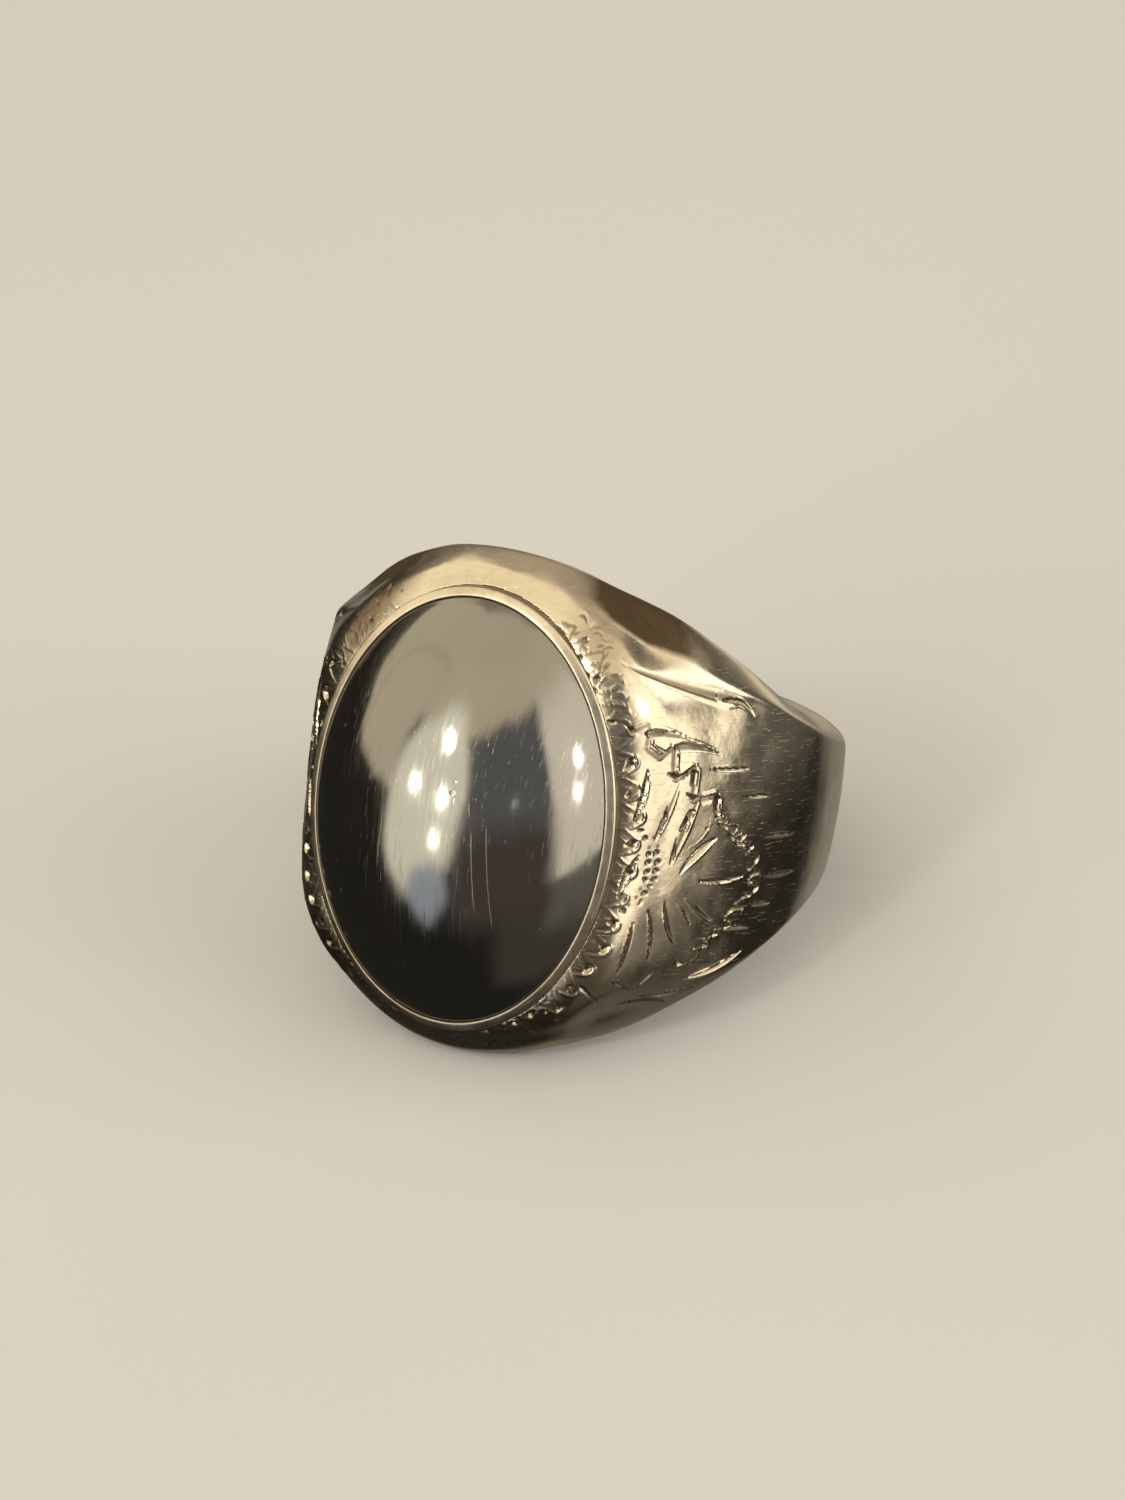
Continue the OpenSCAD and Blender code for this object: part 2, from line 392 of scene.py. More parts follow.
def rim_cuts():
    """Border grooves and crescents near the two rims of the shoulder."""
    return [(curve((12.9, 5.85), (6.3, 7.4), 0.02), 0.3, 0.13, taper_wedge),
            (curve((11.6, 5.95), (13.6, 5.2), 0.1), 0.14, 0.07, taper_point),
            (curve((6.4, -6.1), (7.3, -6.9)), 0.12, 0.1, taper_wedge),
            (curve((7.8, -5.9), (8.9, -6.4)), 0.12, 0.1, taper_wedge),
            (curve((8.9, -6.4), (9.7, -5.6)), 0.08, 0.07, taper_line),
            (curve((8.3, -7.2), (11.2, -7.3), 0.08), 0.16, 0.1, taper_point),
            (curve((9.3, -6.75), (13.1, -6.45), -0.06), 0.13, 0.09, taper_point),
            (curve((11.6, -6.1), (15.2, -5.0), -0.06), 0.13, 0.08, taper_point)]


def shoulder_engraving(seed, start):
    """All cuts of one side; its upper notches begin at the start phase."""
    rng = np.random.default_rng(seed)
    return (wolf_teeth(rng) + notch_cluster(rng, start, 0.52, 1.2, 14)
            + notch_cluster(rng, -0.8, -1.25, 1.3, 11) + dot_crescent(rng)
            + half_flower() + arch(rng) + leaf_cuts() + rays(rng) + rim_cuts())


ENGRAVING = {1: shoulder_engraving(7, 1.08), -1: shoulder_engraving(19, 0.98)}


def carve(u, t):
    """Height that the cuts and their raised burrs add to the face, and how deep in a cut it is."""
    height = np.zeros(u.shape)
    cut = np.zeros(u.shape)
    for side, strokes in ENGRAVING.items():
        for path, width, depth, taper in strokes:
            reach = 2.4 * width
            low, high = path.min(0) - reach, path.max(0) + reach
            near = np.nonzero((side * u > low[0]) & (side * u < high[0])
                              & (t > low[1]) & (t < high[1]))
            if not len(near[0]):
                continue
            run = path[1:] - path[:-1]
            off = np.stack([side * u[near], t[near]], -1)[:, None, :] - path[:-1]
            part = np.clip((off * run).sum(-1) / (run ** 2).sum(-1), 0, 1)
            gap = np.linalg.norm(off - run * part[..., None], axis=-1)
            size = taper((np.arange(len(run)) + part) / len(run))
            hand = np.sign(off[..., 0] * run[:, 1] - off[..., 1] * run[:, 0])
            nearest = (gap / size).argmin(1)[:, None]
            gap, size, hand = (np.take_along_axis(values, nearest, 1)[:, 0]
                               for values in (gap, size, hand))
            ratio = gap / (width * size)
            shift = ratio * hand + GRAVER_LEAN
            groove = np.clip(1 - np.abs(shift) / (1 + GRAVER_LEAN * np.sign(shift)), 0, 1)
            deep = depth * size ** 0.7
            burr = BURR * np.exp(-((ratio - 1.25) / 0.28) ** 2) * (hand < 0) * (len(path) > 2)
            height[near] = np.where(groove > 0, np.minimum(height[near], -deep * groove),
                                    np.maximum(height[near], deep * burr))
            cut[near] = np.maximum(cut[near], np.clip(1.2 - ratio, 0, 1) * min(1, depth / 0.09))
    return height, cut


# ---------------------------------------------------------------- hoop pieces

SIDE_POINTS = 8
BEVEL_POINTS = 26
BORE_POINTS = 44
EDGE_ROUNDING = 16           # smoothing passes that wear the hoop's edges round
LOWER_SWELL = 0.16           # how far wear has rounded the bevels beyond straight lines
UPPER_SWELL = 0.04


def worn_side(angles):
    """How much of its reach the hoop's upper side keeps: it is worn down beside the head."""
    left = 0.045 * np.exp(-((angles + 46) / 14) ** 2)
    both = 0.025 * np.exp(-((np.abs(angles) - 68) / 16) ** 2)
    return 1 - left - both


def sections(angles, face_points):
    """Worn sections of the hoop as closed [radius, t] loops, starting at the bore's top."""
    face = along(FACE_HALF, angles)[:, None]
    edge = along(EDGE_HALF, angles)[:, None]
    rim = face_radius(angles, np.ones(len(angles)))[:, None]
    inner = edge - (EDGE_RADIUS - BORE_RADIUS) * EDGE_SLOPE
    bore = np.sin(np.linspace(math.pi / 2, -math.pi / 2, BORE_POINTS))[None, :]
    side = np.linspace(0, 1, SIDE_POINTS, endpoint=False)[None, 1:]
    bevel = np.linspace(0, 1, BEVEL_POINTS, endpoint=False)[None, :]
    part = np.linspace(-1, 1, face_points)[None, :]
    whole = np.ones((1, 1))
    side_radius = BORE_RADIUS + (EDGE_RADIUS - BORE_RADIUS) * side + 0 * face
    side_reach = inner + (edge - inner) * side
    bevel_radius = EDGE_RADIUS + (rim - EDGE_RADIUS) * bevel
    bevel_reach = edge + (face - edge) * bevel
    radius = np.concatenate([
        BORE_RADIUS * whole + 0 * bore + 0 * face, side_radius, bevel_radius,
        face_radius(angles[:, None], part),
        bevel_radius[:, ::-1], side_radius[:, ::-1]], 1)
    reach = np.concatenate([
        inner * bore, -side_reach, -bevel_reach, face * part,
        bevel_reach[:, ::-1], side_reach[:, ::-1]], 1)
    swell = np.sin(math.pi * bevel) + 0 * face
    flat = 0 * bore + 0 * face
    bulge = np.concatenate([flat, 0 * side_radius, LOWER_SWELL * swell, 0 * (face * part),
                            UPPER_SWELL * swell[:, ::-1], 0 * side_radius], 1)
    loop = np.stack([radius + 0.7 * bulge, reach + 0.7 * bulge * np.sign(reach)], -1)
    for _ in range(EDGE_ROUNDING):
        loop = 0.5 * loop + 0.25 * (np.roll(loop, 1, 1) + np.roll(loop, -1, 1))
    return loop


SKIN_CENTRE = 7.2            # millimetres round the hoop from the stone's middle
SKIN_REACH = 2.1
SOIL_CENTRE = 8.0
SOIL_REACH = 3.3
SOIL_LIMIT = 0.75


def hump(u, centre, reach, strength, limit):
    """A soft flat-topped hump on both sides of the stone."""
    return np.clip(strength * np.exp(-((np.abs(u) - centre) / reach) ** 2), 0, limit)


def upper_bevel(u, t):
    """1 on the hoop's upper bevel and 0 on its face."""
    return np.clip((t - along(FACE_HALF, np.degrees(u / ARC)) - 0.15) / 0.3, 0, 1)


def cast_skin(u, t):
    """How much of the rough cast skin is left at a place, beside the head on the upper bevel."""
    return hump(u, SKIN_CENTRE, SKIN_REACH, 1.25, 1) * upper_bevel(u, t)


def soiled_bevel(u, t):
    """How much old grime lies at a place on the upper bevel."""
    return hump(u, SOIL_CENTRE, SOIL_REACH, 1.5, SOIL_LIMIT) * upper_bevel(u, t)


def hoop_piece(name, angles, face_points):
    """A closed length of the hoop with its engraving, waves and wear."""
    back = 180 - np.abs(180 - np.abs(angles))
    loop = sections(back, face_points)
    upper = loop[..., 1] > 0
    loop[..., 1] *= np.where(upper, worn_side(angles)[:, None], 1)
    turn = np.radians(np.where(angles > 180, angles - 360, angles))[:, None]
    points = np.stack([loop[..., 0] * np.sin(turn), loop[..., 0] * np.cos(turn), loop[..., 1]], -1)
    u = ARC * turn + 0 * loop[..., 0]
    t = loop[..., 1]
    outside = np.clip((loop[..., 0] - EDGE_RADIUS + 0.1) / 0.4, 0, 1)
    height, cut = carve(u, t)
    patch = cast_skin(u, t)
    uneven = 0.0055 * waves(u, t, 3.2, 10, 3) + 0.0018 * waves(u, t, 1.1, 12, 4)
    uneven *= np.clip((170 - back) / 30, 0, 1)[:, None]
    rough = patch * (0.014 * waves(u, t, 0.8, 14, 5) + 0.005 * waves(u, t, 0.3, 14, 6))
    lift = outside * (height + uneven + rough)
    points += grid_normals(points) * lift[..., None]
    rows, columns = t.shape
    off_bezel = (np.hypot(u / OVAL_HALF_WIDTH, t / OVAL_HALF_LENGTH) - 1) * OVAL_HALF_WIDTH
    grime = np.clip((1.9 - off_bezel) / 0.6, 0, 1) * np.clip((np.abs(t) - 3) / 2, 0, 1)
    grime *= np.clip((np.abs(u) - 3.6) / 1.2, 0, 1) * np.where(u < 0, 1.0, 0.45) * outside
    off_bore = np.clip((loop[..., 0] - BORE_RADIUS - 0.3) / 0.3, 0, 1)
    grime = np.maximum(grime, soiled_bevel(u, t) * off_bore)
    fields = {"cut": (cut * outside).ravel(), "patch": (patch * off_bore).ravel(),
              "grime": grime.ravel(),
              "place": np.stack([u, t, loop[..., 0]], -1).reshape(-1, 3)}
    caps = [range(columns - 1, -1, -1), range((rows - 1) * columns, rows * columns)]
    return mesh_piece(name, points.reshape(-1, 3), grid_quads(rows, columns), fields, caps)


def spaced(*runs):
    """Angles from runs of (start, end, step), each run joined to the next."""
    pieces = [np.arange(start, end - step / 2, step) for start, end, step in runs]
    return np.append(np.concatenate(pieces), runs[-1][1])


def cut_setting(piece):
    """Cuts the oval pocket of the setting out of the head."""
    count = 256
    turn = np.linspace(0, 2 * math.pi, count, endpoint=False)
    ring = np.stack([(BEZEL_HALF_WIDTH + FIT_GAP) * np.sin(turn), 0 * turn,
                     (BEZEL_HALF_LENGTH + FIT_GAP) * np.cos(turn)], -1)
    bottom = ring + [0, SETTING_FLOOR, 0]
    top = ring + [0, 2 * GIRDLE, 0]
    points = np.concatenate([bottom, top])
    caps = [range(count - 1, -1, -1), range(count, 2 * count)]
    tool = mesh_piece("setting_tool", points, grid_quads(2, count), {}, caps)
    pocket = piece.modifiers.new("pocket", "BOOLEAN")
    pocket.operation = "DIFFERENCE"
    pocket.solver = "MANIFOLD"
    pocket.object = tool
    depsgraph = bpy.context.evaluated_depsgraph_get()
    finished = bpy.data.meshes.new_from_object(piece.evaluated_get(depsgraph))
    piece.modifiers.clear()
    piece.data = finished
    bpy.data.objects.remove(tool)


# ---------------------------------------------------------------- setting and stone

def oval_sweep(name, profile, fields_at, count):
    """A closed ring swept round the setting from [inset, height] outlines, one per angle."""
    turn = np.linspace(0, 2 * math.pi, count, endpoint=False)[:, None]
    inset, height = profile
    x = (BEZEL_HALF_WIDTH - inset) * np.sin(turn)
    t = (BEZEL_HALF_LENGTH - inset) * np.cos(turn)
    points = np.stack([x, height, t], -1)
    rows, columns = height.shape
    quads = grid_quads(rows + 1, columns)[:, ::-1] % (rows * columns)
    fields = fields_at(turn + 0 * height, inset, height)
    return mesh_piece(name, points.reshape(-1, 3), quads, fields)


def bezel_profile(turn):
    """The bezel's section all the way round: a thin wall with a rubbed-over, slightly uneven lip."""
    reach = 8.2 * turn
    wave = 0.5 * waves(reach, 0 * reach, 4.0, 8, 21) + 0.3 * waves(reach, 0 * reach, 1.2, 10, 22)
    lip = [  # inset, height over the girdle, share of the unevenness
        (0.0, -0.05, 0), (0.012, 0.0, 0.2), (0.04, 0.04, 0.5), (0.1, 0.075, 0.8),
        (0.17, 0.11, 1), (0.24, 0.145, 1), (0.31, 0.175, 1), (0.36, 0.185, 0.8),
        (0.39, 0.17, 0.5), (0.4, 0.14, 0.3)]
    inset, height = [], []
    for level in np.linspace(SETTING_FLOOR, GIRDLE - 0.1, 8):
        inset.append(0 * turn)
        height.append(level + 0 * turn)
    for shift, rise, share in lip:
        inset.append(shift + 0.018 * share * wave)
        height.append(GIRDLE + rise + 0.02 * share * wave)
    inset.append(BEZEL_WALL + 0.03 + 0 * turn)
    height.append(GIRDLE + 0.02 + 0 * turn)
    for level in np.linspace(GIRDLE - 0.1, SETTING_FLOOR, 5):
        inset.append(BEZEL_WALL + 0 * turn)
        height.append(level + 0 * turn)
    return np.concatenate(inset, 1), np.concatenate(height, 1)


def make_bezel():
    """The collar round the stone, dark with painted shade where it meets the head and the stone."""
    count = 720
    turn = np.linspace(0, 2 * math.pi, count, endpoint=False)[:, None]

    def fields_at(angle, inset, height):
        # Painted shade: darker at the wall's foot in the crease with the head, and fully dark along the
        # lip's inner edge against the stone.
        low = np.clip((GIRDLE + 0.03 - height) / 0.1, 0, 1)
        inner = np.clip((inset - 0.29) / 0.08, 0, 1)
        place = np.stack([8.2 * angle, height, inset * 4], -1).reshape(-1, 3)
        return {"cut": np.maximum(low * 0.8, inner).ravel(), "patch": 0 * low.ravel(),
                "place": place}

    return oval_sweep("bezel_collar", bezel_profile(turn), fields_at, count)


def make_stone():
    """The cabochon: a flat base, a short straight edge and a high smooth dome."""
    count, rings = 288, 96
    turn = np.linspace(0, 2 * math.pi, count, endpoint=False)
    part = np.cos(np.linspace(0, math.pi / 2, rings, endpoint=False))
    scale = np.concatenate([[0.97, 1.0, 1.0], part])
    height = np.concatenate([[SEAT, SEAT + 0.2, GIRDLE - 0.3], GIRDLE + DOME_HEIGHT * dome(part)])
    shrink = 2 * FIT_GAP
    x = (STONE_HALF_WIDTH - shrink) * scale[:, None] * np.sin(turn)[None, :]
    t = (STONE_HALF_LENGTH - shrink) * scale[:, None] * np.cos(turn)[None, :]
    s = height[:, None] + 0.012 * scale[:, None] * waves(x, t, 7.0, 6, 31) * (scale[:, None] < 0.97)
    points = np.stack([x, s, t], -1).reshape(-1, 3)
    rows = len(scale)
    top = [range((rows - 1) * count, rows * count)]
    base = [range(count - 1, -1, -1)]
    fields = {"place": np.stack([x, t, s], -1).reshape(-1, 3)}
    return mesh_piece("hematite_cabochon", points, grid_quads(rows, count), fields, top + base)


# ---------------------------------------------------------------- material helpers

class Nodes:
    """Short calls for building one node tree."""

    def __init__(self, tree):
        self.tree = tree
        self.tree.nodes.clear()

    def add(self, kind, settings=None, **inputs):
        node = self.tree.nodes.new(kind)
        for name, value in (settings or {}).items():
            setattr(node, name, value)
        for name, value in inputs.items():
            self.feed(node.inputs[name.replace("_", " ")], value)
        return node

    def feed(self, socket, value):
        if isinstance(value, bpy.types.NodeSocket):
            self.tree.links.new(value, socket)
        else:
            socket.default_value = value

    def math(self, operation, first, second=0.0, clamp=False):
        node = self.tree.nodes.new("ShaderNodeMath")
        node.operation = operation
        node.use_clamp = clamp
        self.feed(node.inputs[0], first)
        self.feed(node.inputs[1], second)
        return node.outputs[0]

    def ramp(self, value, low, high, out_low=0.0, out_high=1.0):
        """Smooth step between two values."""
        node = self.tree.nodes.new("ShaderNodeMapRange")
        node.interpolation_type = "SMOOTHSTEP"
        for name, number in (("From Min", low), ("From Max", high), ("To Min", out_low),
                             ("To Max", out_high)):
            node.inputs[name].default_value = number
        self.feed(node.inputs["Value"], value)
        return node.outputs["Result"]

    def mix(self, factor, first, second):
        node = self.tree.nodes.new("ShaderNodeMix")
        node.data_type = "RGBA"
        self.feed(node.inputs[0], factor)
        self.feed(node.inputs[6], first)
        self.feed(node.inputs[7], second)
        return node.outputs[2]

    def noise(self, vector, scale, detail=3.0, roughness=0.5, distortion=0.0):
        node = self.add("ShaderNodeTexNoise", Vector=vector, Scale=scale, Detail=detail,
                        Roughness=roughness, Distortion=distortion)
        return node.outputs[0]

    def stretched(self, vector, scale, turn=(0, 0, 0)):
        node = self.add("ShaderNodeMapping", Vector=vector, Scale=scale, Rotation=turn)
        return node.outputs[0]

    def bump(self, height, distance, strength=1.0, normal=None):
        node = self.add("ShaderNodeBump", Height=height, Distance=distance, Strength=strength)
        if normal is not None:
            self.feed(node.inputs["Normal"], normal)
        return node.outputs[0]

    def scratches(self, vector, length, spacing, turn, amount):
        """Thin straight lines: the crests of a noise that is drawn out along one direction."""
        drawn = self.stretched(vector, (1 / length, 1 / spacing, 1), (0, 0, turn))
        value = self.noise(drawn, 1.0, 2.0, 0.6)
        return self.ramp(value, 0.78 - amount, 0.8 - amount * 0.8)


def new_material(name):
    """A material with one Principled shader, its nodes helper and that shader."""
    material = bpy.data.materials.new(name)
    material.use_nodes = True
    nodes = Nodes(material.node_tree)
    shader = nodes.add("ShaderNodeBsdfPrincipled")
    output = nodes.add("ShaderNodeOutputMaterial")
    nodes.feed(output.inputs["Surface"], shader.outputs[0])
    return material, nodes, shader


def colour(red, green, blue):
    """Opaque linear colour."""
    return (red, green, blue, 1.0)


# ---------------------------------------------------------------- materials

CLEAN_SILVER = colour(0.60, 0.55, 0.47)
DULL_SILVER = colour(0.41, 0.355, 0.28)
# Dark colour of the patina, grime and rough skin, and of the painted shade on the bezel.
TARNISH_AND_PAINTED_SHADE = colour(0.095, 0.068, 0.044)


def aged_silver(name, tarnish=0.45, base_roughness=0.1):
    """Worn sterling silver: clean on the high places, dark in the cuts, with fine scratches. On the
    bezel the same dark field is painted shade in the crease with the head and along the stone.
    """
    material, nodes, shader = new_material(name)
    shader.inputs["Metallic"].default_value = 1.0
    solid = nodes.add("ShaderNodeTexCoord").outputs["Object"]
    place = nodes.add("ShaderNodeAttribute", {"attribute_name": "place"}).outputs["Vector"]
    cut = nodes.add("ShaderNodeAttribute", {"attribute_name": "cut"}).outputs["Fac"]
    patch = nodes.add("ShaderNodeAttribute", {"attribute_name": "patch"}).outputs["Fac"]
    grime = nodes.add("ShaderNodeAttribute", {"attribute_name": "grime"}).outputs["Fac"]

    cloud = nodes.noise(solid, 260, 4.0, 0.6)
    speck = nodes.noise(solid, 2600, 3.0, 0.6)
    fine_lines = nodes.scratches(place, 1.6, 0.05, 0.9, 0.1)
    cross_lines = nodes.scratches(place, 1.2, 0.05, 2.3, 0.1)
    long_lines = nodes.scratches(place, 3.5, 0.06, -0.2, 0.07)
    lines = nodes.math("MAXIMUM", fine_lines, nodes.math("MAXIMUM", cross_lines, long_lines))

    dull = nodes.ramp(cloud, 0.4, 0.7, 0.0, tarnish)
    dull = nodes.math("ADD", dull, nodes.ramp(speck, 0.5, 0.72, 0.0, 0.5 * tarnish), True)
    dull = nodes.math("ADD", dull, patch, True)
    grimy = nodes.math("MULTIPLY", grime, nodes.ramp(cloud, 0.3, 0.6, 0.35, 0.85))
    # Patina in the engraved cuts, and painted shade where the bezel meets the head and the stone.
    dark = nodes.math("MAXIMUM", nodes.ramp(cut, 0.2, 1.0, 0.0, 0.74), grimy)
    blotch = nodes.ramp(nodes.noise(solid, 1100, 3.0, 0.6), 0.35, 0.65, 0.72, 1.1)
    dark = nodes.math("ADD", dark, nodes.math("MULTIPLY", patch, blotch), True)
    skin = nodes.mix(dull, CLEAN_SILVER, DULL_SILVER)
    nodes.feed(shader.inputs["Base Color"], nodes.mix(dark, skin, TARNISH_AND_PAINTED_SHADE))

    rough = nodes.ramp(nodes.noise(solid, 900, 3.0), 0.3, 0.7, base_roughness,
                       base_roughness + 0.1)
    rough = nodes.math("ADD", rough, nodes.math("MULTIPLY", lines, 0.08))
    rough = nodes.math("ADD", rough, nodes.math("MULTIPLY", dark, 0.25))
    rough = nodes.math("ADD", rough, nodes.math("MULTIPLY", patch, 0.22), True)
    nodes.feed(shader.inputs["Roughness"], rough)

    normal = nodes.bump(nodes.noise(solid, 480, 3.0, 0.55), 0.000016)
    normal = nodes.bump(nodes.noise(solid, 4200, 3.0, 0.6), 0.000003, normal=normal)
    skin = nodes.math("MULTIPLY", nodes.noise(solid, 2600, 4.0, 0.65), patch)
    normal = nodes.bump(skin, 0.00004, normal=normal)
    normal = nodes.bump(lines, -0.0000022, normal=normal)
    nodes.feed(shader.inputs["Normal"], normal)
    return material


# The stone's longest scratches, each from its start to its end as (x, t).
STONE_SCRATCHES = [((2.3, 0.5), (2.7, -3.2)), ((2.82, 0.9), (3.36, -3.8)), ((-1.1, -2.9), (-0.9, -3.2)),
                   ((4.4, 2.2), (4.2, 1.5)), ((3.1, 2.7), (2.9, 2.1)), ((-3.6, -3.4), (-3.9, -4.1))]


def hematite():
    """Polished black-grey iron ore with a strong mirror gloss, fine scratches and a few pits."""
    material, nodes, shader = new_material("hematite")
    shader.inputs["IOR"].default_value = 2.9
    solid = nodes.add("ShaderNodeTexCoord").outputs["Object"]
    cloud = nodes.noise(solid, 300, 4.0, 0.6)
    in_millimetres = nodes.stretched(solid, (1000, 1000, 1000))
    upright = nodes.stretched(in_millimetres, (1 / 0.06, 1 / 0.5, 1 / 5.0), (0.0, 0.06, 0.0))
    fine = nodes.ramp(nodes.noise(upright, 1.0, 2.0, 0.6), 0.64, 0.7)
    slant = nodes.stretched(in_millimetres, (1 / 0.08, 1 / 0.7, 1 / 3.0), (0.2, 0.7, 0.0))
    fine = nodes.math("MAXIMUM", fine, nodes.ramp(nodes.noise(slant, 1.0, 2.0), 0.68, 0.73))
    place = nodes.add("ShaderNodeAttribute", {"attribute_name": "place"}).outputs["Vector"]
    axes = nodes.add("ShaderNodeSeparateXYZ", Vector=place)
    deep = 0.0
    for start, end in STONE_SCRATCHES:
        slope = (end[0] - start[0]) / (end[1] - start[1])
        centre = nodes.math("ADD", nodes.math("MULTIPLY", axes.outputs["Y"], slope),
                            start[0] - slope * start[1])
        gap = nodes.math("ABSOLUTE", nodes.math("SUBTRACT", axes.outputs["X"], centre))
        line = nodes.ramp(gap, 0.006, 0.028, 1.0, 0.0)
        line = nodes.math("MULTIPLY", line, nodes.ramp(axes.outputs["Y"], start[1] - 0.5, start[1],
                                                       1.0, 0.0))
        line = nodes.math("MULTIPLY", line, nodes.ramp(axes.outputs["Y"], end[1], end[1] + 0.5))
        deep = nodes.math("MAXIMUM", deep, line)
    nodes.feed(shader.inputs["Base Color"],
               nodes.mix(deep, nodes.mix(cloud, colour(0.002, 0.002, 0.002),
                                         colour(0.007, 0.006, 0.006)), colour(0.1, 0.094, 0.088)))
    pits = nodes.add("ShaderNodeTexVoronoi", Vector=in_millimetres, Scale=0.55)
    pits = nodes.ramp(pits.outputs["Distance"], 0.03, 0.07, 1.0, 0.0)
    rough = nodes.ramp(cloud, 0.3, 0.7, 0.07, 0.13)
    rough = nodes.math("ADD", rough, nodes.ramp(nodes.noise(upright, 0.5, 2.0), 0.4, 0.7, 0, 0.06))
    rough = nodes.math("ADD", rough, nodes.math("MULTIPLY", fine, 0.1))
    rough = nodes.math("ADD", rough, nodes.math("MULTIPLY", deep, 0.3))
    rough = nodes.math("ADD", rough, nodes.math("MULTIPLY", pits, 0.3), True)
    nodes.feed(shader.inputs["Roughness"], rough)
    normal = nodes.bump(nodes.noise(solid, 170, 2.0), 0.00003)
    normal = nodes.bump(fine, -0.0000012, normal=normal)
    normal = nodes.bump(pits, -0.00001, normal=normal)
    nodes.feed(shader.inputs["Normal"], normal)
    return material


def plain_silver():
    """Sawn and soldered silver that is hidden under the stone."""
    material, nodes, shader = new_material("plain_silver")
    shader.inputs["Metallic"].default_value = 1.0
    solid = nodes.add("ShaderNodeTexCoord").outputs["Object"]
    stain = nodes.ramp(nodes.noise(solid, 420, 4.0, 0.6), 0.4, 0.7)
    nodes.feed(shader.inputs["Base Color"], nodes.mix(stain, colour(0.78, 0.72, 0.62),
                                                      colour(0.34, 0.28, 0.2)))
    sawn = nodes.noise(nodes.stretched(solid, (800, 9000, 9000)), 1.0, 2.0)
    nodes.feed(shader.inputs["Roughness"], nodes.ramp(sawn, 0.3, 0.7, 0.35, 0.55))
    nodes.feed(shader.inputs["Normal"], nodes.bump(sawn, 0.000008))
    return material


def setting_cement():
    """Grainy jeweller's cement with filings in it."""
    material, nodes, shader = new_material("setting_cement")
    solid = nodes.add("ShaderNodeTexCoord").outputs["Object"]
    grain = nodes.noise(solid, 3200, 4.0, 0.65)
    stain = nodes.mix(nodes.noise(solid, 350, 3.0), colour(0.36, 0.31, 0.23),
                      colour(0.5, 0.46, 0.38))
    nodes.feed(shader.inputs["Base Color"],
               nodes.mix(nodes.ramp(grain, 0.6, 0.72), stain, colour(0.12, 0.11, 0.1)))
    nodes.feed(shader.inputs["Roughness"], nodes.ramp(grain, 0.3, 0.7, 0.7, 0.95))
    nodes.feed(shader.inputs["Normal"], nodes.bump(grain, 0.00003))
    return material


# ---------------------------------------------------------------- studio

FLOOR_SIZE = 4.0
FLOOR_COLOUR = colour(0.52, 0.545, 0.63)
FLOOR_SHADE = colour(0.405, 0.43, 0.50)
ROOM_COLOUR = colour(0.66, 0.61, 0.52)       # what the camera sees past the floor's far edge
STRIP_BOW = 0.037            # how fast the bright strip's edge draws in below the horizon
CEILING_CORNER = -85.0       # azimuth in degrees past which the ceiling's edge climbs
CEILING_SLANT = 0.6
DARK_SLOPE = 0.2             # how fast the dim part's top edge climbs towards the strip


def add_floor(height):
    """A plain pale floor. Mirror-like surfaces see the dim room past it, so dark stone stays dark."""
    mesh = bpy.data.meshes.new("floor")
    half = FLOOR_SIZE / 2
    mesh.from_pydata([(-half, -half, height), (half, -half, height), (half, half, height),
                      (-half, half, height)], [], [(0, 1, 2, 3)])
    floor = bpy.data.objects.new("floor", mesh)
    bpy.context.scene.collection.objects.link(floor)
    material, nodes, shader = new_material("floor")
    soft = nodes.noise(nodes.add("ShaderNodeTexCoord").outputs["Object"], 6, 2.0)
    nodes.feed(shader.inputs["Base Color"],
               nodes.mix(nodes.ramp(soft, 0.3, 0.7, 0.0, 0.06), FLOOR_COLOUR, FLOOR_SHADE))
    shader.inputs["Roughness"].default_value = 0.8
    shader.inputs["Specular IOR Level"].default_value = 0.2
    mesh.materials.append(material)
    floor.visible_glossy = False


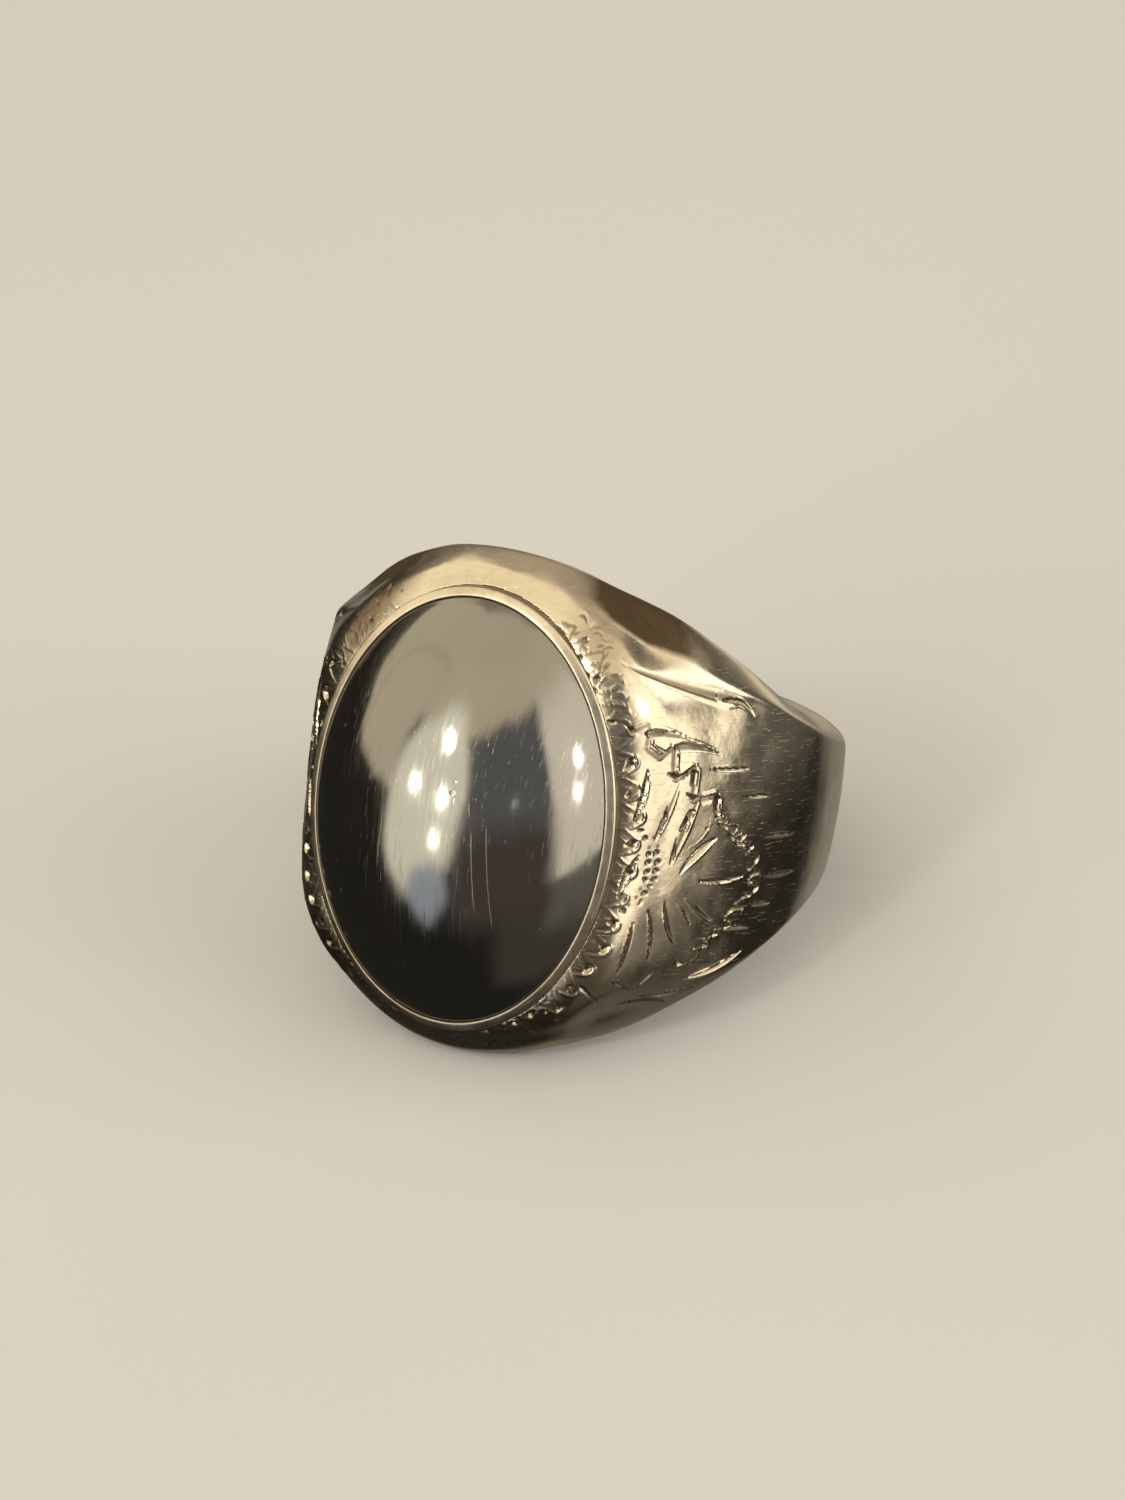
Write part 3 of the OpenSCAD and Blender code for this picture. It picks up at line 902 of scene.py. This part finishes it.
def add_world():
    """Room light in soft patches by direction; the camera itself sees one plain colour."""
    world = bpy.data.worlds.new("studio")
    world.use_nodes = True
    bpy.context.scene.world = world
    nodes = Nodes(world.node_tree)
    direction = nodes.add("ShaderNodeTexCoord").outputs["Generated"]
    axes = nodes.add("ShaderNodeSeparateXYZ", Vector=direction)
    to_degrees = 180 / math.pi
    azimuth = nodes.math("ARCTAN2", axes.outputs["X"], nodes.math("MULTIPLY", axes.outputs["Y"], -1))
    azimuth = nodes.math("MULTIPLY", azimuth, to_degrees)
    elevation = nodes.math("MULTIPLY", nodes.math("ARCSINE", axes.outputs["Z"]), to_degrees)

    below = nodes.math("MINIMUM", elevation, 0.0)
    bow = nodes.math("MULTIPLY", nodes.math("MULTIPLY", below, below), STRIP_BOW)
    bowed = (nodes.math("ADD", azimuth, bow), elevation)

    sway = nodes.noise(direction, 2.2, 3.0, 0.55)
    azimuth = nodes.math("ADD", azimuth, nodes.ramp(sway, 0.3, 0.7, -2.0, 2.0))
    sway = nodes.noise(nodes.stretched(direction, (1, 1, 1), (1.0, 0.5, 0)), 2.6, 3.0, 0.55)
    elevation = nodes.math("ADD", elevation, nodes.ramp(sway, 0.3, 0.7, -2.5, 2.5))
    even = (azimuth, elevation)
    past = nodes.math("MAXIMUM", nodes.math("SUBTRACT", CEILING_CORNER, azimuth), 0.0)
    drop = nodes.math("MULTIPLY", past, CEILING_SLANT)
    slanted = (azimuth, nodes.math("SUBTRACT", elevation, drop))
    climb = nodes.math("MULTIPLY", nodes.math("MAXIMUM", azimuth, 0.0), DARK_SLOPE)
    sloping = (azimuth, nodes.math("SUBTRACT", elevation, climb))

    def panel(left, right, bottom, top, soft, low_soft, top_soft=5, place=even):
        """Soft-edged patch of the surroundings, in degrees."""
        turn, rise = place
        mask = nodes.ramp(turn, left - soft, left + soft)
        mask = nodes.math("MULTIPLY", mask, nodes.ramp(turn, right - soft, right + soft, 1, 0))
        over = nodes.ramp(rise, bottom - low_soft, bottom + low_soft)
        mask = nodes.math("MULTIPLY", mask, over)
        under = nodes.ramp(rise, top - top_soft, top + top_soft, 1, 0)
        return nodes.math("MULTIPLY", mask, under)

    def oval(centre, height, half_width, half_height, lean, soft):
        """Soft-edged oval patch of the surroundings, in degrees, with its top leaning over."""
        rise = nodes.math("SUBTRACT", elevation, height)
        turn = nodes.math("SUBTRACT", azimuth, centre)
        turn = nodes.math("SUBTRACT", turn, nodes.math("MULTIPLY", rise, lean))
        across = nodes.math("DIVIDE", turn, half_width)
        upright = nodes.math("DIVIDE", rise, half_height)
        reach = nodes.math("ADD", nodes.math("MULTIPLY", across, across),
                           nodes.math("MULTIPLY", upright, upright))
        return nodes.ramp(nodes.math("SQRT", reach), 1 - soft, 1 + soft, 1, 0)

    light = colour(0.03, 0.028, 0.021)
    # Places and colours are fitted to the reflections that the photo shows in the stone and the
    # right shoulder, then rounded and adjusted.
    ceiling = panel(-126, -48, 6.5, 120, 5, 3, place=slanted)
    layers = [
        # panel: left, right, bottom and top edge, softness of sides, bottom and top
        # oval: centre, height, half width, half height, lean, softness
        (panel(-400, 400, 26, 120, 6, 30), colour(0.62, 0.52, 0.37)),
        (panel(-126, 138, 34, 120, 5, 5), colour(1.45, 1.22, 0.80)),
        (panel(-400, 400, 70, 120, 5, 5), colour(1.38, 1.17, 0.78)),
        (ceiling, colour(1.42, 1.21, 0.80)),
        (nodes.math("MULTIPLY", ceiling, oval(-60, 28, 31, 29, 0, 0.05)), colour(1.2, 1.02, 0.68)),
        (nodes.math("MULTIPLY", ceiling, oval(-60, 27, 28, 26, 0, 0.08)), colour(1.44, 1.22, 0.82)),
        (panel(152, 400, -50, 24, 8, 8, 8), colour(0.29, 0.26, 0.21)),
        (panel(-400, -138, -50, 24, 8, 8, 8), colour(0.29, 0.26, 0.21)),
        (panel(165, 400, -12, 24, 8, 6, 8), colour(1.0, 0.85, 0.62)),
        (panel(-400, -165, -12, 24, 8, 6, 8), colour(1.0, 0.85, 0.62)),
        (panel(98, 150, -20, 24, 5, 9), colour(0.15, 0.138, 0.11)),
        (panel(109, 130, 8, 34, 3, 3, 3), colour(2.4, 2.2, 1.8)),
        (panel(95, 200, -82, -54, 12, 12, 12), colour(0.15, 0.13, 0.1)),
        (panel(-200, -120, -82, -54, 12, 12, 12), colour(0.22, 0.19, 0.14)),
        (panel(28, 100, -62, -26, 8, 8, 8), colour(0.14, 0.12, 0.09)),
        (panel(60, 100, -36, 6, 5, 7), colour(0.33, 0.295, 0.235)),
        (panel(60, 106.3, -17.7, 46, 0.7, 1.2, 12, bowed), colour(2.1, 1.86, 1.39)),
        (panel(-2, 62, -8, 39, 4, 4, 3, place=sloping), colour(0.28, 0.28, 0.26)),
        (panel(-2, 62, -30, 6, 8, 8, 8), colour(0.17, 0.135, 0.105)),
        (oval(-21, 15, 25, 33, 0.2, 0.16), colour(2.2, 2.03, 1.5)),
        (oval(-16, -17, 11, 10, 0, 0.4), colour(0.9, 0.95, 1.0)),
        (oval(38, 16, 2.6, 1.8, 0, 0.5), colour(1.5, 1.45, 1.3))]
    for mask, shade in layers:
        light = nodes.mix(mask, light, shade)
    seen = nodes.add("ShaderNodeLightPath").outputs["Is Camera Ray"]
    light = nodes.mix(seen, light, ROOM_COLOUR)
    background = nodes.add("ShaderNodeBackground", Color=light, Strength=1.0)
    output = nodes.add("ShaderNodeOutputWorld")
    nodes.feed(output.inputs["Surface"], background.outputs[0])


def add_lamp(name, azimuth, elevation, distance, size, power, shade):
    """A round soft lamp aimed at the ring, hidden from the camera."""
    data = bpy.data.lights.new(name, "AREA")
    data.shape = "DISK"
    data.size = size
    data.energy = power
    data.color = shade
    lamp = bpy.data.objects.new(name, data)
    turn, rise = math.radians(azimuth), math.radians(elevation)
    lamp.location = Vector((math.sin(turn) * math.cos(rise), -math.cos(turn) * math.cos(rise),
                            math.sin(rise))) * distance
    lamp.rotation_euler = lamp.location.to_track_quat("Z", "Y").to_euler()
    lamp.visible_camera = False
    bpy.context.scene.collection.objects.link(lamp)


def add_lamps():
    """Small warm lamps that give the stone its glints."""
    warm = (1.0, 0.9, 0.72)
    for name, azimuth, elevation, size, power in (
            ("lamp_high", -14, 36, 0.07, 0.5), ("lamp_middle", -10, 17, 0.05, 0.3),
            ("lamp_left", -30, 17, 0.04, 0.2), ("lamp_low", -12, 3, 0.04, 0.12),
            ("lamp_right", 82, 19, 0.05, 0.25), ("lamp_far_right", 78, 8, 0.04, 0.12)):
        add_lamp(name, azimuth, elevation, 0.6, size, power, warm)


# ---------------------------------------------------------------- the ring

def dress(piece, material, slot, *nodes):
    """Gives a new piece its material, hangs it under the root body and hides the CAD nodes that it
    replaces.
    """
    piece.data.materials.clear()
    piece.data.materials.append(material)
    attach(piece, "root")
    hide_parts(*nodes)


def redress(node, material):
    """Gives a CAD node a better material."""
    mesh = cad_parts[node].data
    mesh.materials.clear()
    mesh.materials.append(material)


def build_ring():
    """Makes the six visible pieces and gives the hidden CAD nodes their materials."""
    silver = aged_silver("aged_silver")
    bezel_silver = aged_silver("bezel_silver", tarnish=0.9, base_roughness=0.26)

    fine, coarse = 0.24, 0.6     # degrees between sections, where there are cuts and where not
    head = hoop_piece("engraved_head", spaced((-HEAD_SEAM, -17, fine), (-17, 17, coarse),
                                              (17, HEAD_SEAM, fine)), 280)
    cut_setting(head)
    dress(head, silver, "aged_silver", "head")
    engraved = spaced((HEAD_SEAM, 80, fine), (80, SHANK_SEAM, coarse))
    right = hoop_piece("engraved_right_shoulder", engraved, 240)
    dress(right, silver, "aged_silver", "right_shoulder")
    left = hoop_piece("engraved_left_shoulder", -engraved[::-1], 240)
    dress(left, silver, "aged_silver", "left_shoulder")
    shank = hoop_piece("worn_shank", spaced((SHANK_SEAM, 360 - SHANK_SEAM, 0.9)), 60)
    dress(shank, silver, "aged_silver", "shank")

    dress(make_bezel(), bezel_silver, "bezel_silver", "bezel")
    dress(make_stone(), hematite(), "hematite", "cabochon")
    hidden_silver = plain_silver()
    redress("base_plate", hidden_silver)
    redress("bearing", hidden_silver)
    redress("setting_cement", setting_cement())


add_camera()
build_ring()
add_floor(cad_box[0][2])
add_world()
add_lamps()
bpy.context.scene.view_settings.view_transform = "Standard"
